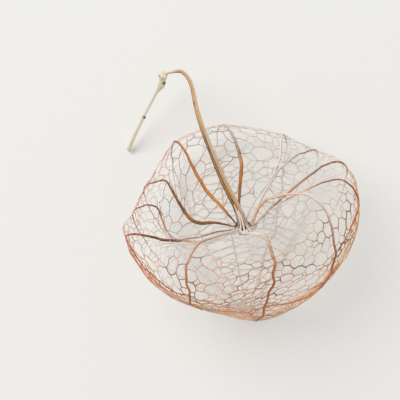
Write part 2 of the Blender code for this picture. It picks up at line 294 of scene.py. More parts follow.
# %% Guide points of the ribs
AXIS_RISE = math.radians(40)
AXIS_TURN = math.radians(4)
Rib = namedtuple("Rib", (
    "throat_turn rim_turn belly_turn flank_turn "
    "throat_r throat_h rim_r rim_h belly_r belly_h flank_r"))
RIBS = (
    Rib(10, 17, 20, 20, 9.5, 6.9, 19.1, 11.4, 24.5, 6.2, 17.2),
    Rib(37, 36, 41, 41, 9.8, 9.6, 17.6, 11.1, 23.3, 5.3, 16.8),
    Rib(49, 56, 62, 62, 11.2, 7.4, 17.3, 12.9, 23.5, 3.9, 16.7),
    Rib(86, 98, 101, 101, 8.7, 9.3, 16.4, 15.5, 23.1, 4.8, 16.3),
    Rib(138, 136, 127, 127, 9.2, 5.2, 17.4, 15.0, 23.3, 3.2, 16.7),
    Rib(178, 164, 156, 156, 10.4, 2.7, 16.1, 10.4, 22.5, 3.6, 16.1),
    Rib(197, 186, 179, 179, 14.6, 1.9, 18.2, 9.3, 23.1, 4.7, 16.6),
    Rib(224, 208, 200, 200, 9.3, 3.0, 18.3, 5.9, 26.0, 7.4, 17.8),
    Rib(248, 237, 240, 240, 6.3, 4.5, 19.1, 9.8, 24.8, 1.4, 15.9),
    Rib(290, 285, 282, 276, 6.7, 3.9, 17.9, 10.2, 22.8, 5.7, 17.2),
    Rib(341, 331, 321, 321, 4.9, 8.2, 17.0, 13.4, 23.1, 3.9, 17.4),
    Rib(350, 358, 357, 357, 6.5, 6.1, 19.1, 12.2, 24.5, 5.2, 17.9),
)
COUNT = len(RIBS)
FIRST_FOOT_TURN = 10
FOOT_RADIUS = 2.3
FLANK_DROP = -10.3
TIP_RADIUS = 2.3
TIP_DROP = -23.0
SINK = (0.0, 0.25, 0.06, -0.03, -0.02, 0.0)
SINK_ROUNDNESS = 0.9
LITTLE_WAY = 0.01
REST_HEIGHT = 0.36 * MM
REST_SOFTNESS = 0.5 * MM

AXIS = Vector((
    -math.sin(AXIS_TURN) * math.cos(AXIS_RISE),
    math.cos(AXIS_TURN) * math.cos(AXIS_RISE),
    math.sin(AXIS_RISE),
))
SIDE = Vector((math.cos(AXIS_TURN), math.sin(AXIS_TURN), 0.0))
BACK = AXIS.cross(SIDE)


def blend(before, start, end, after, share):
    """Smooth curve from start to end; the points beside them set its slopes."""
    return 0.5 * (
        2 * start
        + (end - before) * share
        + (2 * before - 5 * start + 4 * end - after) * share ** 2
        + (3 * start - before - 3 * end + after) * share ** 3
    )


def along(points, place):
    """Point at a place from 0 to 1 on the smooth curve through the points."""
    spans = len(points) - 1
    span = min(int(place * spans), spans - 1)
    padded = [2 * points[0] - points[1], *points, 2 * points[-1] - points[-2]]
    return blend(*padded[span:span + 4], place * spans - span)


def rib_outline(index):
    """Guide points of one rib from foot to tip: radius, height and turn."""
    laps, number = divmod(index, COUNT)
    rib = RIBS[number]
    lap = 360.0 * laps
    return [
        Vector((FOOT_RADIUS, 0.0, FIRST_FOOT_TURN + 360.0 * index / COUNT)),
        Vector((rib.throat_r, rib.throat_h, rib.throat_turn + lap)),
        Vector((rib.rim_r, rib.rim_h, rib.rim_turn + lap)),
        Vector((rib.belly_r, rib.belly_h, rib.belly_turn + lap)),
        Vector((rib.flank_r, FLANK_DROP, rib.flank_turn + lap)),
        Vector((TIP_RADIUS, TIP_DROP, rib.flank_turn + lap)),
    ]


def panel_outline(around):
    """Guide points of the smooth outline at a place around the husk, counted in ribs."""
    first = math.floor(around)
    near = [rib_outline(index) for index in range(first - 1, first + 3)]
    return [blend(*guides, around - first) for guides in zip(*near)]


def place(radius, height, turn):
    """World point from cylinder coordinates about the husk's axis, in mm and degrees."""
    angle = math.radians(turn)
    outward = math.cos(angle) * SIDE + math.sin(angle) * BACK
    return FOOT + (radius * outward + height * AXIS) * MM


def press(point):
    """Lift a point that would sink below the surface the husk lies on."""
    depth = (point.z - REST_HEIGHT) / REST_SOFTNESS
    point.z += REST_SOFTNESS * math.log1p(math.exp(-depth))
    return point


def way_beside(down):
    """Two places a little nearer the foot and a little nearer the tip."""
    return max(down - LITTLE_WAY, 0.0), min(down + LITTLE_WAY, 1.0)


def husk_point(around, down):
    """World point on the husk."""
    outline = panel_outline(around)
    radius, height, turn = along(outline, down)
    first = math.floor(around)
    edges = [along(panel_outline(index), down) for index in (first, first + 1)]
    width = radius * math.radians(edges[1].z - edges[0].z)
    low, high = way_beside(down)
    ahead = along(outline, high) - along(outline, low)
    length = math.hypot(ahead.x, ahead.y)
    sink = along(SINK, down) * width * math.sin(math.pi * (around - first)) ** SINK_ROUNDNESS
    radius += sink * ahead.y / length
    height -= sink * ahead.x / length
    return press(place(radius, height, turn))


print("ribs:", COUNT, "and the middle of the first panel's belly:", husk_point(0.5, 0.6))

# %% [markdown]
# ## Buckling of the dried skin
# Dry tissue is never smooth. Three noises, each finer and shallower than the one before,
# move every point of the husk. They fade at the foot, where the stalk holds it in shape.
# Below the rim a fourth noise shifts points sideways, so that ribs run in a zigzag there.
# The noise of mathutils takes its seed from the clock, so a seed is set here first.

# %% Waves in the skin
BUCKLE = ((0.30 * MM, 230.0), (0.12 * MM, 620.0), (0.05 * MM, 1100.0))
BUCKLE_SEED = 2
FOOT_STIFFNESS = 8
KINK = 0.055
KINK_RATE = (1.7, 19.0)
BELOW_RIM = (0.42, 0.56)
SIDESTEP = 0.1
noise.seed_set(BUCKLE_SEED)


def soft(value, start, end):
    """0 below start and 1 above end, with soft shoulders."""
    share = min(max((value - start) / (end - start), 0.0), 1.0)
    return share * share * (3 - 2 * share)


def skin_point(around, down):
    """A point of the husk with its slight buckling, and with zigzag lines below the rim."""
    turn = math.tau * around / COUNT
    rate_around, rate_down = KINK_RATE
    seat = Vector((math.cos(turn) * rate_around, math.sin(turn) * rate_around, down * rate_down))
    point = husk_point(around + KINK * noise.noise(seat) * soft(down, *BELOW_RIM), down)
    moved = point.copy()
    for depth, frequency in BUCKLE:
        moved += depth * min(1.0, FOOT_STIFFNESS * down) * noise.noise_vector(point * frequency)
    moved.z = max(moved.z, REST_HEIGHT)
    return moved


def facing_at(around, down):
    """Direction in which the husk faces outward at a place."""
    low, high = way_beside(down)
    lengthwise = husk_point(around, high) - husk_point(around, low)
    across = husk_point(around + SIDESTEP, down) - husk_point(around - SIDESTEP, down)
    return lengthwise.cross(across).normalized()


print("rim of the first rib at", skin_point(0, 0.4))
print("belly and dimple face", facing_at(8.5, 0.6), facing_at(3.5, 0.2))

# %% [markdown]
# ## Middles of the cells
# A vein is what lies between two cells, so the cells come first. Their middles stand in
# rows from the foot to the tip. The cells of the dimple are the largest, and long
# towards the foot; those of the belly are small and about as long as wide. `CELLS`, in
# mm, and `LONGER` say so at the six guide points of a rib. The rows are laid out on the
# mean outline of all the ribs.

# %% Rows of cells
CELLS = (2.0, 2.2, 2.05, 1.75, 1.65, 1.9)
LONGER = (1.9, 1.7, 1.25, 1.05, 1.0, 1.0)
END_GAP = 0.75
STEPS = 600

all_guides = zip(*(rib_outline(index) for index in range(COUNT)))
mean_guides = [sum(guides, Vector((0, 0, 0))) / COUNT for guides in all_guides]
mean_line = [along(mean_guides, step / STEPS) for step in range(STEPS + 1)]


def running_total(weight):
    """Length along the mean outline, each step divided by a weight."""
    totals = [0.0]
    for step, (start, end) in enumerate(zip(mean_line, mean_line[1:])):
        totals.append(totals[-1] + (end - start).to_2d().length / weight(step))
    return totals


def cell_length(step):
    """Length of a cell at a step of the mean outline."""
    down = (step + 0.5) / STEPS
    return along(CELLS, down) * along(LONGER, down)


cells_down = running_total(cell_length)
ROWS = round(cells_down[-1])
rows = []
for row in range(ROWS):
    goal = cells_down[-1] * (row + END_GAP) / (ROWS + 2 * END_GAP - 1)
    rows.append(next(step for step, total in enumerate(cells_down) if total >= goal) / STEPS)
print("rows of cells:", ROWS)

# %% [markdown]
# ## Cells in each row
# Each panel of a row holds as many cells as fit. A seeded draw jostles them and leaves
# some out, but one stands on each side of every rib, so that the border between the two
# runs along the rib. The side that the husk lies on rots first, and has fewer and wider
# cells. Neighbours are found on a flat chart of the husk, which keeps all angles.

# %% Middles of the cells
HIDDEN_FOR_CELLS = (0.2, 0.5)
HIDDEN_STRETCH = 2.3
MISSING = 0.12
HIDDEN_MISSING = 0.32
ROW_WOBBLE = 0.42
CELL_WOBBLE = 0.55
VEIN_SEED = 7

shrink = running_total(lambda step: mean_line[step].x)


def chart(around, down):
    """Flat chart that keeps angles: the tip is in the middle and the foot outside."""
    angle = math.tau * around / COUNT
    step = min(max(down, 0.0), 1.0) * STEPS
    low = min(int(step), STEPS - 1)
    gone = shrink[low] + (shrink[low + 1] - shrink[low]) * (step - low)
    return Vector((math.cos(angle), math.sin(angle))) * math.exp(-gone)


def cell_middles():
    """Middles of the cells, and the links that keep a row of cells on each side of a rib."""
    draw = random.Random(VEIN_SEED)
    middles, links, beside = [], [], {}
    for row, down in enumerate(rows):
        gap = 0.5 * (rows[min(row + 1, ROWS - 1)] - rows[max(row - 1, 0)])
        calm = 0 < row < ROWS - 1
        levels = [down + calm * draw.uniform(-1, 1) * ROW_WOBBLE * gap for _ in range(COUNT)]
        for panel in range(COUNT):
            width = (husk_point(panel + 1, down) - husk_point(panel, down)).length / MM
            hidden = soft(-facing_at(panel + 0.5, down).z, *HIDDEN_FOR_CELLS)
            size = along(CELLS, down) * (1 + (HIDDEN_STRETCH - 1) * hidden)
            missing = MISSING + (HIDDEN_MISSING - MISSING) * hidden
            cells = max(1, round(width / size)) if calm else 1
            for cell in range(cells):
                inner = 0 < cell < cells - 1
                if inner and draw.random() < missing:
                    continue
                around = (cell + 0.5) / cells
                level = levels[panel] * (1 - around) + levels[(panel + 1) % COUNT] * around
                if inner:
                    around += draw.uniform(-1, 1) * CELL_WOBBLE / cells
                    level += draw.uniform(-1, 1) * CELL_WOBBLE * gap
                if cell == 0:
                    beside[row, panel, "right"] = len(middles)
                if cell == cells - 1:
                    beside[row, panel, "left"] = len(middles)
                middles.append((panel + around, level))
    for row in range(ROWS):
        for panel in range(COUNT):
            left = beside[row, (panel - 1) % COUNT, "left"]
            right = beside[row, panel, "right"]
            links.append((left, right))
            if row:
                links.append((beside[row - 1, (panel - 1) % COUNT, "left"], left))
                links.append((beside[row - 1, panel, "right"], right))
    return middles, sorted({tuple(sorted(link)) for link in links if link[0] != link[1]})


middles, links = cell_middles()
print("cells of the net:", len(middles), "in", ROWS, "rows")

# %% [markdown]
# ## Junctions of the veins
# Joining neighbouring middles gives triangles, and in each triangle three cells meet:
# there is a junction. Where the three cells lie on both sides of a rib, the junction is
# put on the rib. One more cell closes the net at the tip, and one at the foot.

# %% Triangles and junctions
TRIANGLES_ONLY = 0
SAME_PLACE = 1e-9


def short_way(start, end):
    """Shorter way round the husk between two places, counted in ribs."""
    return (end - start + COUNT / 2) % COUNT - COUNT / 2


def cell_triangles():
    """Triangles between the middles of neighbouring cells, with a cell at the tip and the foot."""
    flat = [chart(*middle) for middle in middles]
    points, _, triangles, *_ = delaunay_2d_cdt(flat, links, [], TRIANGLES_ONLY, SAME_PLACE)
    if len(points) != len(middles):
        raise ValueError("two cells of the net meet")
    last_row = range(len(middles) - COUNT, len(middles))
    triangles = [tuple(cells) for cells in triangles if not set(cells) <= set(last_row)]
    tip, foot = len(middles), len(middles) + 1
    middles.extend([(None, 1.0), (None, 0.0)])
    for step in range(COUNT):
        following = (step + 1) % COUNT
        triangles.append((last_row[step], last_row[following], tip))
        triangles.append((following, step, foot))
    return triangles


def junction_of(cells):
    """Place of the junction between three cells, and whether it lies on a rib."""
    arounds = [middles[cell][0] for cell in cells if middles[cell][0] is not None]
    arounds = [arounds[0] + short_way(arounds[0], around) for around in arounds]
    panels = {math.floor(around) for around in arounds}
    on_rib = len(panels) > 1
    around = float(max(panels)) if on_rib else sum(arounds) / len(arounds)
    ends = [middles[cell][1] for cell in cells if middles[cell][0] is None]
    down = ends[0] if ends else sum(middles[cell][1] for cell in cells) / len(cells)
    return [around, down, on_rib]


triangles = cell_triangles()
junctions = [junction_of(cells) for cells in triangles]
print("junctions:", len(junctions), "on ribs:", sum(on_rib for *_, on_rib in junctions))

# %% [markdown]
# ## Rings round the cells
# The corners of a cell are the junctions of the triangles round its middle, in order.
# From these rings the neighbours of each junction follow, and every junction off the
# ribs moves a little towards the mean of its neighbours, which rounds the cells.

# %% Rings and neighbours
CELL_EASE = 0.16


def rings_round_cells(triangles):
    """Junctions round each cell, in order."""
    turns = {}
    for index, cells in enumerate(triangles):
        for step in range(3):
            middle, start, end = cells[step], cells[(step + 1) % 3], cells[(step + 2) % 3]
            turns.setdefault(middle, {})[start] = (end, index)
    rings = []
    for steps in turns.values():
        start = next(iter(steps))
        ring, at = [], start
        while not ring or at != start:
            at, index = steps[at]
            ring.append(index)
        rings.append(ring)
    return rings


rings = rings_round_cells(triangles)
neighbours = [set() for _ in junctions]
for ring in rings:
    for start, end in zip(ring, ring[1:] + ring[:1]):
        neighbours[start].add(end)
        neighbours[end].add(start)
for index, (around, down, on_rib) in enumerate(junctions):
    if not on_rib:
        near = [junctions[other] for other in neighbours[index]]
        shift = CELL_EASE * sum(short_way(around, other[0]) for other in near) / len(near)
        mean_down = sum(other[1] for other in near) / len(near)
        junctions[index][0] = around + shift
        junctions[index][1] = down + CELL_EASE * (mean_down - down)
spots = [skin_point(around, down) for around, down, _ in junctions]
print("cells:", len(rings), "with", round(sum(map(len, rings)) / len(rings), 2), "corners on average")

# %% [markdown]
# ## Which veins are thick
# A leaf feeds its tissue from the ribs, and a vein is as thick as what it feeds. Every
# junction is joined to a rib by its shortest way through the net, and each vein counts
# the junctions that are fed through it. The places on a rib start at a drawn handicap, of
# which few are small, so the ways gather in fewer, longer side veins, as in a real leaf.
# A draw also makes each vein a little easier or harder to pass than its length says.

# %% Flow through the net
HANDICAP = 3.5 * MM
HANDICAP_SPREAD = 0.5
EASE = (0.6, 1.4)
FLOW_SEED = 11


def flow_through_net():
    """How many junctions each junction feeds, itself included."""
    draw = random.Random(FLOW_SEED)
    far = [math.inf] * len(junctions)
    fed_by = [None] * len(junctions)
    queue = []
    for index, (_, _, on_rib) in enumerate(junctions):
        if on_rib:
            far[index] = draw.random() ** HANDICAP_SPREAD * HANDICAP
            heapq.heappush(queue, (far[index], index))
    order = []
    done = set()
    ease = {}
    while queue:
        distance, index = heapq.heappop(queue)
        if index in done:
            continue
        done.add(index)
        order.append(index)
        for other in sorted(neighbours[index]):
            pair = (min(index, other), max(index, other))
            if pair not in ease:
                ease[pair] = draw.uniform(*EASE)
            reached = distance + ease[pair] * (spots[index] - spots[other]).length
            if reached < far[other]:
                far[other] = reached
                fed_by[other] = index
                heapq.heappush(queue, (reached, other))
    flow = [1] * len(junctions)
    for index in reversed(order):
        if fed_by[index] is not None:
            flow[fed_by[index]] += flow[index]
    return flow


flow = flow_through_net()
off_ribs = [fed for fed, (*_, on_rib) in zip(flow, junctions) if not on_rib]
print("largest flow off the ribs:", max(off_ribs))

# %% [markdown]
# ## Side veins that stand out
# Some veins of a husk are as strong as a light rib: here a fold across the front panel,
# branches on both sides of the front rib and a bow at the right edge. Each row gives the
# flow that such a vein stands for, and its stops: `around` and `down` on the husk. The
# shortest way through the net joins them, so that the vein keeps the zigzag of the
# junctions that it passes.

# %% Side veins along the net
SIDE_VEINS = (
    (12, ((8.0, 0.45), (8.2, 0.44), (8.4, 0.42), (8.68, 0.41), (8.95, 0.43))),
    (14, ((9.0, 0.50), (9.12, 0.548), (9.32, 0.556), (9.5, 0.57))),
    (10, ((7.64, 0.436), (7.76, 0.484), (7.84, 0.524), (7.88, 0.572), (8.0, 0.64))),
    (14, ((10.9, 0.42), (10.75, 0.45), (10.64, 0.484), (10.6, 0.516),
          (10.52, 0.54), (10.32, 0.572), (10.1, 0.62))),
    (9, ((9.0, 0.60), (8.84, 0.62), (8.72, 0.612), (8.5, 0.63))),
    (9, ((9.0, 0.55), (8.84, 0.532), (8.6, 0.52))),
    (9, ((8.68, 0.44), (8.68, 0.516), (8.6, 0.548), (8.52, 0.58), (8.45, 0.66))),
    (9, ((8.0, 0.58), (8.2, 0.6), (8.35, 0.66))),
)
HUSK_LENGTH = 70.0
RIB_SPACING = 12.0


def nearest_junction(around, down):
    """Junction next to a place on the husk."""
    def gap(index):
        aside = short_way(around, junctions[index][0])
        return math.hypot(aside * RIB_SPACING, (junctions[index][1] - down) * HUSK_LENGTH)

    return min(range(len(junctions)), key=gap)


def way_between(start, end):
    """Junctions on the shortest way through the net from one junction to another."""
    queue, before = [(0.0, start, start)], {}
    while end not in before:
        distance, index, source = heapq.heappop(queue)
        if index not in before:
            before[index] = source
            for other in neighbours[index]:
                length = (spots[index] - spots[other]).length
                heapq.heappush(queue, (distance + length, other, index))
    way = [end]
    while way[-1] != start:
        way.append(before[way[-1]])
    return way


for strength, stops in SIDE_VEINS:
    ends = [nearest_junction(*stop) for stop in stops]
    for start, end in zip(ends, ends[1:]):
        for index in way_between(start, end):
            flow[index] = max(flow[index], strength)
print("side veins that stand out:", len(SIDE_VEINS))

# %% [markdown]
# ## From cells to veins
# First the cells become a sheet of faces that carries at each junction the thickness of
# its veins. It grows with the square root of the flow, because a vein's section grows
# with what it feeds. Bars too short to show are merged into one junction.

# %% Sheet of cells
THIN = 0.066 * MM
THICKER = 0.050 * MM
THICKEST = 0.38 * MM
UNDER_RIB = 0.22 * MM
SHORTEST = 0.42 * MM


def vein_thickness(index):
    """Thickness of the veins at a junction."""
    if junctions[index][2]:
        return UNDER_RIB
    return min(THIN + THICKER * math.sqrt(flow[index]), THICKEST)


def cell_skin():
    """The cells as faces, and the thickness of the veins at their corners."""
    skin = bmesh.new()
    thick = skin.verts.layers.float.new("thick")
    points = []
    for index, spot in enumerate(spots):
        point = skin.verts.new(spot)
        point[thick] = vein_thickness(index)
        points.append(point)
    for ring in rings:
        skin.faces.new([points[index] for index in ring])
    bmesh.ops.recalc_face_normals(skin, faces=skin.faces)
    return skin, thick


def merge_short(skin, thick):
    """Merge the two ends of every bar that is too short to show."""
    while True:
        short = [edge for edge in skin.edges if edge.calc_length() < SHORTEST]
        if not short:
            return
        start, end = min(short, key=lambda edge: edge.calc_length()).verts
        if end[thick] > start[thick]:
            start, end = end, start
        bmesh.ops.weld_verts(skin, targetmap={end: start})


skin, thick = cell_skin()
merge_short(skin, thick)
print("sheet of", len(skin.faces), "cells with", len(skin.edges), "borders")

# %% [markdown]
# ## Bends in the veins
# No vein is dead straight. Each border gets a point in its middle, pushed a little aside
# by a seeded draw and a little thinner than the junctions at its ends.

# %% A bend in each border
BEND = 0.12
LARGEST_BEND = 0.15 * MM
WAIST = 0.5


def with_bends(skin, thick):
    """The same cells with a point in the middle of each border, pushed aside."""
    draw = random.Random(VEIN_SEED)
    bent = bmesh.new()
    heft = bent.verts.layers.float.new("thick")
    skin.normal_update()
    points = {}
    for point in skin.verts:
        points[point] = bent.verts.new(point.co)
        points[point][heft] = point[thick]
    halfway = {}
    for edge in skin.edges:
        start, end = edge.verts
        aside = (end.co - start.co).cross(start.normal + end.normal).normalized()
        shift = draw.gauss(0, 1) * BEND * edge.calc_length()
        shift = max(-LARGEST_BEND, min(LARGEST_BEND, shift))
        mean = (start[thick] + end[thick]) / 2
        halfway[edge] = bent.verts.new((start.co + end.co) / 2 + shift * aside)
        halfway[edge][heft] = WAIST * min(start[thick], end[thick]) + (1 - WAIST) * mean
    for cell in skin.faces:
        ring = []
        for loop in cell.loops:
            ring.extend((points[loop.vert], halfway[loop.edge]))
        bent.faces.new(ring)
    bent.normal_update()
    return bent, heft


bent, heft = with_bends(skin, thick)
print("corners and bends:", len(bent.verts))

# %% [markdown]
# ## Bars with four sides
# Each border between two cells becomes a bar with four sides: a ridge outside, a ridge
# inside, and the edges of the two holes. A hole is its cell, drawn in by half a bar all
# round. One closed mesh comes out, in which the bars flow into each other at every
# junction. It keeps the direction in which the skin faces, for the colours.

# %% Bars along the borders
MITRE = 1.5
SHARPEST = 0.01


def hole_corner(loop, half):
    """Corner of the hole in a cell, half a bar in from both borders that meet there."""
    normal = loop.vert.normal
    sides = []
    for other, sign in ((loop.link_loop_next.vert, 1), (loop.link_loop_prev.vert, -1)):
        edge = other.co - loop.vert.co
        sides.append(sign * normal.cross(edge).normalized())
    inward = (sides[0] + sides[1]).normalized()
    length = half / max(inward.dot(sides[0]), SHARPEST)
    return loop.vert.co + inward * min(length, MITRE * half)


def bars_between(bent, heft):
    """Bars along the borders of the cells, as one closed mesh."""
    cage = bmesh.new()
    thick = cage.verts.layers.float.new("thick")
    face_out = cage.verts.layers.float_vector.new("outward")

    def new_point(spot, source):
        point = cage.verts.new(spot)
        point[thick] = source[heft]
        point[face_out] = source.normal
        return point

    outer, inner = {}, {}
    for point in bent.verts:
        half = 0.5 * point[heft]
        outer[point] = new_point(point.co + half * point.normal, point)
        inner[point] = new_point(point.co - half * point.normal, point)
    for cell in bent.faces:
        hole = [new_point(hole_corner(loop, 0.5 * loop.vert[heft]), loop.vert) for loop in cell.loops]
        for step, start in enumerate(cell.verts):
            following = (step + 1) % len(hole)
            end = cell.verts[following]
            cage.faces.new((outer[start], outer[end], hole[following], hole[step]))
            cage.faces.new((inner[end], inner[start], hole[step], hole[following]))
    return cage


cage = bars_between(bent, heft)
net = add_mesh("vein_net", [], [])
cage.to_mesh(net.data)
for used in (skin, bent, cage):
    used.free()
net.data.shade_smooth()
print("vein net:", len(net.data.polygons), "faces")

# %% [markdown]
# ## Tubes along lines
# Ribs and stems are round things that follow a line, so one Geometry Nodes tree makes
# them all: it takes the line, gives it a round section as thick as the line says, adds
# lengthwise ridges and a rough skin, and closes the ends. It also keeps two values for
# the finish: the angle of a point round its tube, and its `crest`, which is 1 on the side
# that looks out of the husk and -1 on the side that looks in. On the stalk the side given
# as outward is the one that gets painted shade. The finishes paint shade, and on the stalk
# a highlight, by `crest`.

# %% The tree for tubes
TUBE_INPUTS = (
    ("sides", "NodeSocketInt", 12),
    ("ridges", "NodeSocketFloat", 0.0),
    ("ridge depth", "NodeSocketFloat", 0.0),
    ("rough depth", "NodeSocketFloat", 0.0),
    ("rough scale", "NodeSocketFloat", 1000.0),
    ("finish", "NodeSocketMaterial", None),
)


def tube_tree():
    """Geometry Nodes tree that turns lines into ridged tubes."""
    tree = bpy.data.node_groups.new("tube_along_line", "GeometryNodeTree")
    face = tree.interface
    face.new_socket("Geometry", in_out="INPUT", socket_type="NodeSocketGeometry")
    for name, kind, value in TUBE_INPUTS:
        socket = face.new_socket(name, in_out="INPUT", socket_type=kind)
        if value is not None:
            socket.default_value = value
    face.new_socket("Geometry", in_out="OUTPUT", socket_type="NodeSocketGeometry")
    given = tree.nodes.new("NodeGroupInput")

    def value_of(name):
        return Wire(tree, given.outputs[name])

    def node(kind, values, settings=None, output=0):
        return new_node(tree, kind, settings or {}, values, output)

    def named(name, kind="FLOAT"):
        return node("GeometryNodeInputNamedAttribute", {"Name": name}, {"data_type": kind})

    def stored(geometry, name, value):
        values = {"Geometry": geometry, "Name": name, "Value": value}
        settings = {"data_type": "FLOAT", "domain": "POINT"}
        return node("GeometryNodeStoreNamedAttribute", values, settings)

    line = node("GeometryNodeMeshToCurve", {"Mesh": value_of("Geometry")})
    circle = {"Resolution": value_of("sides"), "Radius": 1.0}
    ring = node("GeometryNodeCurvePrimitiveCircle", circle)
    angle = node("GeometryNodeInputIndex", {}) * math.tau / value_of("sides")
    ring = stored(ring, "spoke", angle)
    radius = named("thick") * 0.5
    sweep = {"Curve": line, "Profile Curve": ring, "Scale": radius, "Fill Caps": True}
    tube = node("GeometryNodeCurveToMesh", sweep)

    normal = node("GeometryNodeInputNormal", {})
    where = node("GeometryNodeInputPosition", {})
    grain = {"Vector": where, "Scale": value_of("rough scale"), "Detail": 2.0}
    rough = (node("ShaderNodeTexNoise", grain) - 0.5) * value_of("rough depth")
    ridges = value_of("ridge depth") * (named("spoke") * value_of("ridges")).cos()
    lift = (ridges + rough) * named("thick")
    push = node("ShaderNodeVectorMath", {"Vector": normal, "Scale": lift}, {"operation": "SCALE"})
    tube = node("GeometryNodeSetPosition", {"Geometry": tube, "Offset": push})

    sides = {0: normal, 1: named("outward", "FLOAT_VECTOR")}
    crest = node("ShaderNodeVectorMath", sides, {"operation": "DOT_PRODUCT"}, "Value")
    tube = stored(tube, "crest", crest)
    tube = node("GeometryNodeSetShadeSmooth", {"Geometry": tube})
    tube = node("GeometryNodeRealizeInstances", {"Geometry": tube})
    finish = {"Geometry": tube, "Material": value_of("finish")}
    tube = node("GeometryNodeSetMaterial", finish)
    connect(tree, tree.nodes.new("NodeGroupOutput").inputs[0], tube)
    return tree


tubes = tube_tree()
print("tree with", len(tubes.nodes), "nodes")

# %% [markdown]
# ## From lines to a plain mesh
# The lines go in as a mesh of points and edges whose points carry the thickness and the
# colour values. The tree runs once, its result is kept as a plain mesh, and the modifier
# goes, so that the finished piece holds nothing live.

# %% Tubes from lines
def make_tubes(name, lines, values, **sizes):
    """Tubes along lines; values gives each line's point attributes by name."""
    points = [point for line in lines for point in line]
    edges, start = [], 0
    for line in lines:
        edges.extend((start + step, start + step + 1) for step in range(len(line) - 1))
        start += len(line)
    mesh = bpy.data.meshes.new(name)
    mesh.from_pydata([tuple(point) for point in points], edges, [])
    for key, numbers in values.items():
        vector = isinstance(numbers[0], Vector)
        layer = mesh.attributes.new(key, "FLOAT_VECTOR" if vector else "FLOAT", "POINT")
        flat = [part for number in numbers for part in number] if vector else numbers
        layer.data.foreach_set("vector" if vector else "value", flat)
    item = bpy.data.objects.new(name, mesh)
    bpy.context.scene.collection.objects.link(item)
    modifier = item.modifiers.new("tubes", "NODES")
    modifier.node_group = tubes
    inputs = {}
    for socket in tubes.interface.items_tree:
        if socket.in_out == "INPUT":
            inputs[socket.name] = socket.identifier
    for key, value in sizes.items():
        modifier[inputs[key.replace("_", " ")]] = value
    graph = bpy.context.evaluated_depsgraph_get()
    grown = bpy.data.meshes.new_from_object(item.evaluated_get(graph), depsgraph=graph)
    item.modifiers.remove(modifier)
    item.data = grown
    grown.name = name
    return item


print("sizes that a tube takes:", [name for name, *_ in TUBE_INPUTS])

# %% [markdown]
# ## Finishes of the dry husk
# Dead veins aren't one brown. They run from grey-brown in the dimple to a warm orange on
# the flanks, turn ochre in places, are darkest where they are thick, and are bleached
# where the weather reached them; in the dimple and underneath, the pale is painted light
# (see the weather below). The meshes carry one value for each of these: `warm`, `ochre`,
# `burnt` and `pale`. A coarse noise over the object's own coordinates shifts them from
# vein to vein, and a fine one flecks them. The ribs have one thing more, painted shade:
# where `edge` says so, their sides are painted darker than their `crest`, as shade would
# fall on a round rib, which shows them round.

# %% Finish of ribs and veins
PATCHES = 260.0
PATCHINESS = 2.6
FLECKS = 1500.0
FLECKINESS = 0.5
OCHRE = "ef9c34"
GLINT = "e0a050"
GLINT_FROM = (0.42, 0.75)
BLEACHED = "f3ece2"
# Painted shade on the sides of the ribs: its colour, and how far from the crest it starts.
PAINTED_RIB_SHADE = "4a2412"
PAINTED_RIB_SHADE_FROM = (0.25, 0.95)
BURNT_EVEN = 0.4
BURNT_PATCHY = 1.2


def vein_finish(name, brown, orange, burnt_brown, painted_shade_share=0.0):
    """Dry vein, brown to orange by `warm`, with painted shade on its sides by a share."""
    material, tree, shader, where = new_finish(name)
    patch = speckle(tree, where, PATCHES)
    fleck = speckle(tree, where, FLECKS)
    warm = (attribute(tree, "warm") + (patch - 0.5) * PATCHINESS).held()
    pale = (attribute(tree, "pale") + (fleck - 0.5) * FLECKINESS).held()
    burnt = (attribute(tree, "burnt") * (BURNT_EVEN + patch * BURNT_PATCHY)).held()
    glow = mixed(tree, attribute(tree, "ochre"), orange, OCHRE)
    colour = mixed(tree, warm, brown, glow)
    colour = mixed(tree, (warm * fleck).ramp(*GLINT_FROM), colour, GLINT)
    colour = mixed(tree, burnt, colour, burnt_brown)
    colour = mixed(tree, pale, colour, BLEACHED)
    # Painted shade: the sides of a rib, turned away from its crest, are darkened where `edge` says so.
    if painted_shade_share:
        side = (1 - abs(attribute(tree, "crest"))).ramp(*PAINTED_RIB_SHADE_FROM)
        side = side * attribute(tree, "edge") * painted_shade_share
        colour = mixed(tree, side, colour, PAINTED_RIB_SHADE)
    dress(tree, shader, colour, fleck, bump=0.3, depth=0.05 * MM)
    return material


vein_look = vein_finish("dry_vein_net", "664838", "e87c38", "643a22")
rib_look = vein_finish("dry_vein_rib", "8a5a30", "d26c28", "64300f", painted_shade_share=0.75)
print("finishes:", vein_look.name, rib_look.name)

# %% [markdown]
# ## Weather and painted light on the husk
# What a place looks like follows from where it is and which way it faces. The dimple is
# cool and grey, the flanks that turn away from the sky are warm, and the parts near the
# stalk and on the far side are pale. The dimple's right wall, which is turned towards the
# lamp, is painted paler, a painted highlight. Underneath, where the husk's own shade
# falls, the net is painted nearly as pale as the sheet: painted light that lifts that
# shade. Each range below says between which two values one look gives way to the next;
# the directions are those of the skin's outward normal.

# %% Warm, pale and hidden
DIMPLE_WALL = (-0.3, 0.4)
TURNED_AWAY = (0.25, 0.7)
TURNED_BACK = (0.2, 0.8)
TURNED_FRONT = (0.6, 0.95)
TURNED_DOWN = (0.12, 0.45)
TURNED_UP = (0.85, 0.98)
# The right wall of the dimple, turned towards the lamp, gets a painted highlight; this says where it
# lies.
LIT_WALL_OF_DIMPLE = (-4 * MM, 12 * MM)
BRIGHT_SLANT = 0.5
NEAR_FOOT = (3.5 * MM, 8.5 * MM)
WARM_LEAST = 0.25
WARM_SKIN = 0.5
WARM_EDGE = 0.4
DIMPLE_COOLER = 0.85
BACK_EDGE_WEAKER = 0.6
PALE_TOP = 0.2
PALE_DIMPLE = 0.1
PAINTED_LIGHT_IN_DIMPLE = 0.4
PALE_FOOT = 0.75
PALE_EDGE = 0.15
PALE_FRONT_EDGE = 0.2
PALE_BACK = 0.75


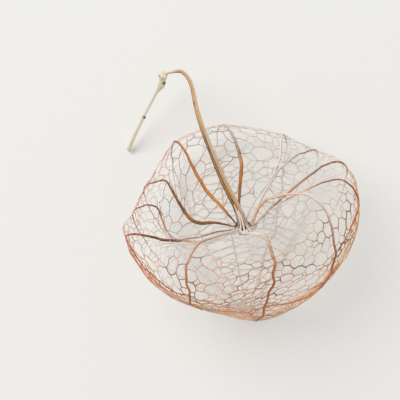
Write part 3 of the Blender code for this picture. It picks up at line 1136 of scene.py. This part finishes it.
def weather(point, outward):
    """How warm, how pale and how hidden the husk is at a point that faces outward."""
    spot = point - FOOT
    across, back = spot.dot(SIDE), spot.dot(BACK)
    radial = (across * SIDE + back * BACK).normalized()
    in_dimple = soft(-radial.dot(outward), *DIMPLE_WALL)
    away = soft(outward.y, *TURNED_BACK)
    edge = soft(1 - abs(outward.z), *TURNED_AWAY) * (1 - BACK_EDGE_WEAKER * away)
    front = soft(-outward.y, *TURNED_FRONT)
    bright = soft(across + BRIGHT_SLANT * back, *LIT_WALL_OF_DIMPLE)
    hidden = soft(-outward.z, *TURNED_DOWN)
    warm = WARM_LEAST + (WARM_SKIN + WARM_EDGE * edge) * (1 - DIMPLE_COOLER * in_dimple)
    pale = max(
        PALE_TOP * soft(outward.z, *TURNED_UP) * (1 - in_dimple),
        # Painted highlight: the dimple's wall that is turned towards the lamp is painted paler.
        in_dimple * (PALE_DIMPLE + PAINTED_LIGHT_IN_DIMPLE * bright),
        PALE_FOOT * (1 - soft(spot.length, *NEAR_FOOT)),
        (PALE_EDGE + PALE_FRONT_EDGE * front) * edge,
        PALE_BACK * away,
        # Painted light: what faces the ground is painted pale, nearly the white of the sheet, which
        # lifts the shade it lies in.
        hidden,
    )
    return warm, pale, hidden


on_belly = weather(skin_point(8.5, 0.55), facing_at(8.5, 0.55))
print("warm, pale and hidden on the belly:", [round(value, 2) for value in on_belly])

# %% [markdown]
# ## Colour values of the net
# The thinnest veins are a little paler, and the thick ones darker. Ochre comes in towards
# the right, and on the front, which faces the lower edge of the picture.

# %% Values at each point of the net
FAINT = 0.15
FAINT_BELOW = (0.12, 0.2)
BURNT = 0.8
BURNT_ABOVE = (0.14, 0.29)
OCHRE_RIGHT = (-6 * MM, 16 * MM)
OCHRE_FRONT = 0.8


def set_values(mesh, name, numbers):
    """Store one number for each point of a mesh."""
    layer = mesh.attributes.new(name, "FLOAT", "POINT")
    layer.data.foreach_set("value", numbers)


facings = [Vector(layer.vector) for layer in net.data.attributes["outward"].data]
sizes = [layer.value / MM for layer in net.data.attributes["thick"].data]
net_values = {name: [] for name in ("warm", "pale", "burnt", "ochre")}
for vertex, facing, size in zip(net.data.vertices, facings, sizes):
    warm, pale, hidden = weather(vertex.co, facing)
    right = soft((vertex.co - FOOT).dot(SIDE), *OCHRE_RIGHT)
    front = soft(-facing.y, *TURNED_FRONT)
    net_values["warm"].append(warm)
    net_values["pale"].append(max(pale, FAINT * (1 - soft(size, *FAINT_BELOW))))
    net_values["burnt"].append(BURNT * soft(size, *BURNT_ABOVE) * (1 - hidden))
    net_values["ochre"].append(max(right, OCHRE_FRONT * front))
for name, numbers in net_values.items():
    set_values(net.data, name, numbers)
net.data.materials.append(vein_look)
print("net coloured at", len(facings), "points")

# %% [markdown]
# ## The ribs
# Each rib is one strand from the stalk to the tip. It leaves the stalk's skin, spreads
# over the foot, thickens in the dimple's wall, thins over the rim and runs down the
# flank. The lines lie on the same buckled skin as the net. The table gives each rib's
# thickness in mm and its colour values at three of its guide points.

# %% Looks of the ribs
Look = namedtuple("Look", (
    "throat rim belly pale_throat pale_rim pale_belly warm_throat warm_rim warm_belly"))
LOOKS = (
    Look(0.55, 0.38, 0.38, 0.3, 0.1, 0.0, 0.3, 0.4, 0.9),
    Look(0.38, 0.36, 0.34, 0.8, 0.3, 0.2, 0.3, 0.2, 0.5),
    Look(0.34, 0.36, 0.32, 1.0, 0.9, 0.5, 0.3, 0.3, 0.5),
    Look(0.72, 0.36, 0.32, 0.0, 0.75, 0.5, 0.6, 0.2, 0.3),
    Look(0.74, 0.40, 0.30, 0.0, 0.0, 0.2, 1.0, 0.7, 0.5),
    Look(0.80, 0.40, 0.30, 0.0, 0.0, 0.1, 0.5, 0.1, 0.5),
    Look(0.32, 0.34, 0.28, 0.2, 0.0, 0.1, 0.1, 0.1, 0.5),
    Look(0.40, 0.58, 0.30, 1.0, 0.0, 0.1, 0.3, 0.2, 0.7),
    Look(0.60, 0.52, 0.44, 0.9, 0.4, 0.0, 0.9, 0.9, 1.0),
    Look(0.60, 0.60, 0.46, 1.0, 0.3, 0.0, 0.9, 1.0, 1.0),
    Look(0.50, 0.46, 0.44, 0.3, 0.75, 0.0, 1.0, 0.9, 1.0),
    Look(0.32, 0.34, 0.38, 0.5, 0.1, 0.0, 0.5, 0.6, 0.9),
)
print("thickest dimple rib:", max(look.throat for look in LOOKS), "mm")

# %% [markdown]
# ## Lines of the ribs
# Above the foot a rib runs up the skin of the pedicel, the fresh part of the stalk, and
# sinks into it. Each row of `PEDICEL` holds x, y and z in mm from the foot, and a radius.
# `STRAND` says how many spans up the pedicel, and how far from its middle, a rib's first
# points stand. `TIP_END` gives the radius and height of its last two.

# %% Ribs from stalk to tip
PEDICEL = (
    (0.0, -0.2, -0.3, 0.75), (-0.3, 1.6, 1.0, 0.70), (-1.3, 4.3, 2.2, 0.76),
    (-4.5, 10.6, 4.3, 0.68), (-8.3, 20.0, 5.8, 0.54), (-9.9, 25.2, 4.8, 0.46),
    (-11.0, 30.3, 2.8, 0.42), (-12.7, 33.0, 1.0, 0.38), (-14.5, 33.4, -0.4, 0.34),
    (-16.9, 33.1, -2.1, 0.36),
)
STRAND = ((2.2, 0.55), (1.6, 0.72), (1.15, 0.86), (0.75, 1.05), (0.42, 1.4), (0.15, 1.85))
TIP_END = ((1.3, -24.1), (0.45, -24.9))
RIB_STEPS = 150
BIT_OF_SPAN = 0.1

pedicel_guides = [Vector(guide) for guide in PEDICEL]


def strand_point(span, radius, turn):
    """Point beside the pedicel, a number of its spans up from the foot."""
    spans = len(pedicel_guides) - 1
    middle = along(pedicel_guides, span / spans).xyz
    up = (along(pedicel_guides, (span + BIT_OF_SPAN) / spans).xyz - middle).normalized()
    side = (SIDE - SIDE.dot(up) * up).normalized()
    angle = math.radians(turn)
    outward = math.cos(angle) * side + math.sin(angle) * up.cross(side)
    return FOOT + (middle + radius * outward) * MM


def rib_line(index):
    """Points of one rib from the stalk's skin to the tip."""
    turns = [guide.z for guide in rib_outline(index)]
    line = [strand_point(span, radius, turns[0]) for span, radius in STRAND]
    line += [skin_point(index, step / RIB_STEPS) for step in range(RIB_STEPS + 1)]
    return line + [press(place(radius, height, turns[-1])) for radius, height in TIP_END]


rib_lines = [rib_line(index) for index in range(COUNT)]
print("points in a rib:", len(rib_lines[0]))

# %% [markdown]
# ## Thickness and colour along a rib
# Between the guide points all values run smoothly. Where a rib is steep it is warm and
# without painted shade on its sides; where it is level its sides get painted shade. Ochre
# stays in the dimple, the part at the foot is painted darkest, as shade, and what faces the
# ground is thin and painted pale, which lifts the shade it lies in.

# %% Values along the ribs
STRAND_THICK = 0.34
FLANK_THINNER = 0.9
TIP_THICK = 0.42
HIDDEN_THINNER = 0.45
HIDDEN_FOR_RIBS = (0.12, 0.5)
LEVEL_FROM = (0.1, 0.5)
WARM_FOOT = 0.3
WARM_FLANK = 0.9
WARM_TIP = 0.7
OCHRE_IN_DIMPLE = 0.7
DIMPLE_ENDS = (0.28, 0.45)
PALE_FLANK = 0.0
# Painted light underneath the ribs, which lifts the shade they lie in.
PAINTED_PALE_UNDERNEATH = 0.95
BURNT_RIB = 0.1
# Painted shade at the foot, where the rib strands crowd into the deepest point of the dimple.
PAINTED_SHADE_AT_FOOT = 0.4
FOOT_ENDS = (0.0, 0.12)
BURNT_BELLY = 0.15
BELLY_STARTS = (0.42, 0.55)


def values_along(index, down):
    """Thickness, colour values and outward direction of a rib at a place on it."""
    look = LOOKS[index]
    thick = (STRAND_THICK, look.throat, look.rim, look.belly, FLANK_THINNER * look.belly, TIP_THICK)
    warm = (WARM_FOOT, look.warm_throat, look.warm_rim, look.warm_belly, WARM_FLANK, WARM_TIP)
    pale = (look.pale_throat, look.pale_throat, look.pale_rim, look.pale_belly, PALE_FLANK, PALE_FLANK)
    facing = facing_at(index, down)
    hidden = soft(-facing.z, *HIDDEN_FOR_RIBS)
    level = soft(abs(facing.z), *LEVEL_FROM)
    # Painted shade: the strands and the first part of each rib are darkened at the foot.
    painted_shade_at_foot = PAINTED_SHADE_AT_FOOT * (1 - soft(down, *FOOT_ENDS))
    on_belly = BURNT_BELLY * level * soft(down, *BELLY_STARTS)
    return {
        "thick": along(thick, down) * MM * (1 - HIDDEN_THINNER * hidden),
        "warm": max(along(warm, down), WARM_FLANK - level),
        "ochre": OCHRE_IN_DIMPLE * (1 - soft(down, *DIMPLE_ENDS)),
        "pale": max(min(along(pale, down), 1.0), PAINTED_PALE_UNDERNEATH * hidden),
        "burnt": BURNT_RIB + painted_shade_at_foot + on_belly,
        # `edge` marks where the sides of a rib get painted shade: where the rib lies level.
        "edge": level,
        "outward": facing,
    }


rib_values = {}


def note(values):
    """Keep the values of the next point of the ribs."""
    for name, value in values.items():
        rib_values.setdefault(name, []).append(value)


for index, line in enumerate(rib_lines):
    for step in range(len(line)):
        down = min(max((step - len(STRAND)) / RIB_STEPS, 0.0), 1.0)
        note(values_along(index, down))
print("values at each point:", sorted(rib_values))

# %% [markdown]
# ## The band in front of the foot
# In front of the stalk a pale band joins two ribs, like a hem where the front panel
# leaves the foot. It is one more line in the same piece: a smooth curve through seven
# places on the husk, lifted a little so that it lies on the net.

# %% Band and tubes of the ribs
BAND = ((8.0, 0.10), (8.06, 0.045), (8.25, 0.01), (8.5, 0.0), (8.75, 0.01), (8.94, 0.045), (9.0, 0.10))
BAND_STEPS = 30
BAND_LIFT = 0.12 * MM
BAND_NEAREST = 0.02
# The band's `edge` of 1 gives it painted shade along its sides.
BAND_LOOK = {"thick": 0.42 * MM, "warm": 0.9, "ochre": 0.2, "pale": 0.85, "burnt": 0.0, "edge": 1.0}

stops = [Vector(stop) for stop in BAND]
band = []
for step in range(BAND_STEPS + 1):
    around, down = along(stops, step / BAND_STEPS)
    facing = facing_at(around, max(down, BAND_NEAREST))
    band.append(skin_point(around, down) + BAND_LIFT * facing)
    note({**BAND_LOOK, "outward": facing})
rib_lines.append(band)

ribs = make_tubes("ribs", rib_lines, rib_values, sides=12, ridges=4.0, ridge_depth=0.04,
                  rough_depth=0.16, rough_scale=1600.0, finish=rib_look)
print("ribs:", len(ribs.data.polygons), "faces")

# %% [markdown]
# ## The stalk
# The fresh part of the stalk is a ridged pedicel that swells where it meets the husk. It
# bends over into the joint on the old stem, a barrel of leaf scars, and the old stem
# comes down past a bud scar to its cut end. Both are tubes along lines once more.

# %% Lines of the stalk
OLD_STEM = (
    (-17.0, 33.2, -1.8, 0.62), (-17.05, 32.7, -2.2, 0.98), (-17.1, 32.1, -2.7, 0.72),
    (-17.2, 31.4, -3.3, 0.66), (-17.4, 30.8, -3.9, 0.74), (-17.9, 30.1, -4.6, 0.48),
    (-18.6, 29.1, -5.5, 0.28), (-19.5, 27.6, -6.8, 0.24), (-21.1, 24.8, -9.0, 0.27),
    (-21.5, 24.1, -9.6, 0.43), (-21.9, 23.35, -10.2, 0.29), (-24.0, 19.4, -13.4, 0.38),
    (-25.0, 17.1, -15.45, 0.42),
)
SPAN_STEPS = 10


def stem_line(guides):
    """Points and thicknesses along a smooth line through guides of x, y, z and radius."""
    guides = [Vector(guide) for guide in guides]
    steps = SPAN_STEPS * (len(guides) - 1)
    spots = [along(guides, step / steps) for step in range(steps + 1)]
    return [FOOT + spot.xyz * MM for spot in spots], [2 * spot.w * MM for spot in spots]


pedicel_line, pedicel_thick = stem_line(PEDICEL)
old_line, old_thick = stem_line(OLD_STEM)
print("thickest place of the old stem:", round(max(old_thick) / MM, 2), "mm")

# %% [markdown]
# ## Bark
# The pedicel is tan, in patches of two tones. One side is painted dark, as painted shade,
# and the other one light, as a painted highlight, which `crest` tells apart; small brown
# flecks lie over both. `pale` turns all of it to the cream of the old stem. The scars
# darken the places where a bud, a leaf or a cut was, and a dark spot at the foot is
# painted shade.

# %% Finish of the bark
BARK_PATCHES = 420.0
BARK_FLECKS = 2600.0
TWO_TONES = (0.35, 0.7)
# Where the painted shade and the painted highlight of the bark begin.
PAINTED_BARK_SHADE_FROM = (0.28, 0.72)
PAINTED_BARK_LIGHT_FROM = (0.3, 0.9)
FLECK_FROM = (0.6, 0.8)
FLECK_SHARE = 0.4
SIDE_WANDER = 0.5
SCAR_EVEN = 0.5


def bark_finish():
    """Tan bark with painted shade on one side and a painted highlight on the other, cream on the old
    stem, dark at its scars and with painted shade at its foot.
    """
    material, tree, shader, where = new_finish("dry_stalk_bark")
    patch = speckle(tree, where, BARK_PATCHES)
    fleck = speckle(tree, where, BARK_FLECKS)
    old = attribute(tree, "pale")
    tone = patch.ramp(*TWO_TONES)
    side = attribute(tree, "crest") + (patch - 0.5) * SIDE_WANDER
    tan = mixed(tree, old, mixed(tree, tone, "cb945a", "e2c19a"), mixed(tree, tone, "ebe1c6", "f7f1e1"))
    # The painted highlight and the painted shade of the bark, paler on the old stem; `side` says which
    # side gets which.
    light = mixed(tree, old, "efd9bb", "f4efe0")
    dark = mixed(tree, old, "5c391f", "dacdaa")
    colour = mixed(tree, (0 - side).ramp(*PAINTED_BARK_LIGHT_FROM), tan, light)
    colour = mixed(tree, side.ramp(*PAINTED_BARK_SHADE_FROM), colour, dark)
    colour = mixed(tree, fleck.ramp(*FLECK_FROM) * FLECK_SHARE, colour, "6b4a30")
    # Dark scars, and the painted shade at the foot of the stalk.
    scar_and_shade = (attribute(tree, "scar_and_shade") * (SCAR_EVEN + fleck)).held()
    colour = mixed(tree, scar_and_shade, colour, "4a3c26")
    dress(tree, shader, colour, fleck, bump=0.4, depth=0.1 * MM)
    return material


bark = bark_finish()
print("finish", bark.name)

# %% Tubes of the stalk
# The side of the stalk that gets painted shade; the side opposite gets a painted highlight.
PAINTED_SHADE_SIDE = Vector((-0.75, -0.55, 0.1)).normalized()
CREAM_FROM = (0.75, 0.97)

fresh, old = len(pedicel_line), len(old_line)
stalk_values = {
    "thick": pedicel_thick + old_thick,
    "pale": [soft(step / fresh, *CREAM_FROM) for step in range(fresh)] + [1.0] * old,
    "outward": [PAINTED_SHADE_SIDE] * (fresh + old),
}
stalk = make_tubes("stalk_bark", [pedicel_line, old_line], stalk_values, sides=28, ridges=5.0,
                   ridge_depth=0.05, rough_depth=0.10, rough_scale=900.0, finish=bark)
print("stalk:", len(stalk.data.polygons), "faces")

# %% [markdown]
# ## Scars of the stalk, and painted shade at its foot
# Dark spots mark where a bud or a leaf broke off and where the stem was cut. The last
# spot, where the stalk meets the husk, is painted shade in the gaps between the strands
# of the ribs. Each row gives the middle of a spot in mm from the foot, how wide it is,
# and how dark. A point of the bark takes the darkest spot that reaches it.

# %% Dark spots on the bark
SCARS_AND_FOOT_SHADE = (
    ((-25.05, 17.0, -15.5), 0.55, 1.0), ((-21.35, 24.15, -9.3), 0.45, 1.0),
    ((-16.75, 31.05, -2.9), 0.65, 0.9), ((-17.75, 32.55, -2.2), 0.45, 0.8),
    ((-16.45, 32.8, -1.9), 0.45, 0.7), ((-17.1, 33.35, -1.7), 0.35, 0.7),
    ((-17.2, 32.0, -1.9), 0.28, 0.7), ((-10.5, 26.1, 5.0), 0.50, 1.0),
    # Painted shade where the stalk meets the husk, in the gaps between the rib strands.
    ((0.0, -0.6, -0.6), 2.4, 1.0),
)


def scar_and_shade_at(point):
    """How dark the bark is at a point, from the darkest spot that reaches it."""
    darkest = 0.0
    for middle, width, depth in SCARS_AND_FOOT_SHADE:
        away = ((point - FOOT) / MM - Vector(middle)).length
        darkest = max(darkest, depth * (1 - soft(away, 0.5 * width, width)))
    return darkest


scars_and_shade = [scar_and_shade_at(vertex.co) for vertex in stalk.data.vertices]
set_values(stalk.data, "scar_and_shade", scars_and_shade)
print("points in a scar:", sum(scar_and_shade > 0 for scar_and_shade in scars_and_shade), "of", len(scars_and_shade))

# %% [markdown]
# ## Which piece stands for what
# The net and the ribs stand for the husk of the model, and the bark for its stalk.
# Nothing moves on this object, so every piece rides on the one body.

# %% Pieces of the model
PIECES = ((net, "husk", "dry_vein"), (ribs, "husk", "dry_vein"), (stalk, "stalk", "dry_stalk"))
for piece, node, slot in PIECES:
    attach(piece, "root")
    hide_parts(node)

visual_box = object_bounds()
boxes = {"cad": [list(corner) for corner in cad_box], "visual": [list(corner) for corner in visual_box]}
for name, corners in boxes.items():
    print(name, "box in mm:", [[round(value / MM, 2) for value in corner] for corner in corners])
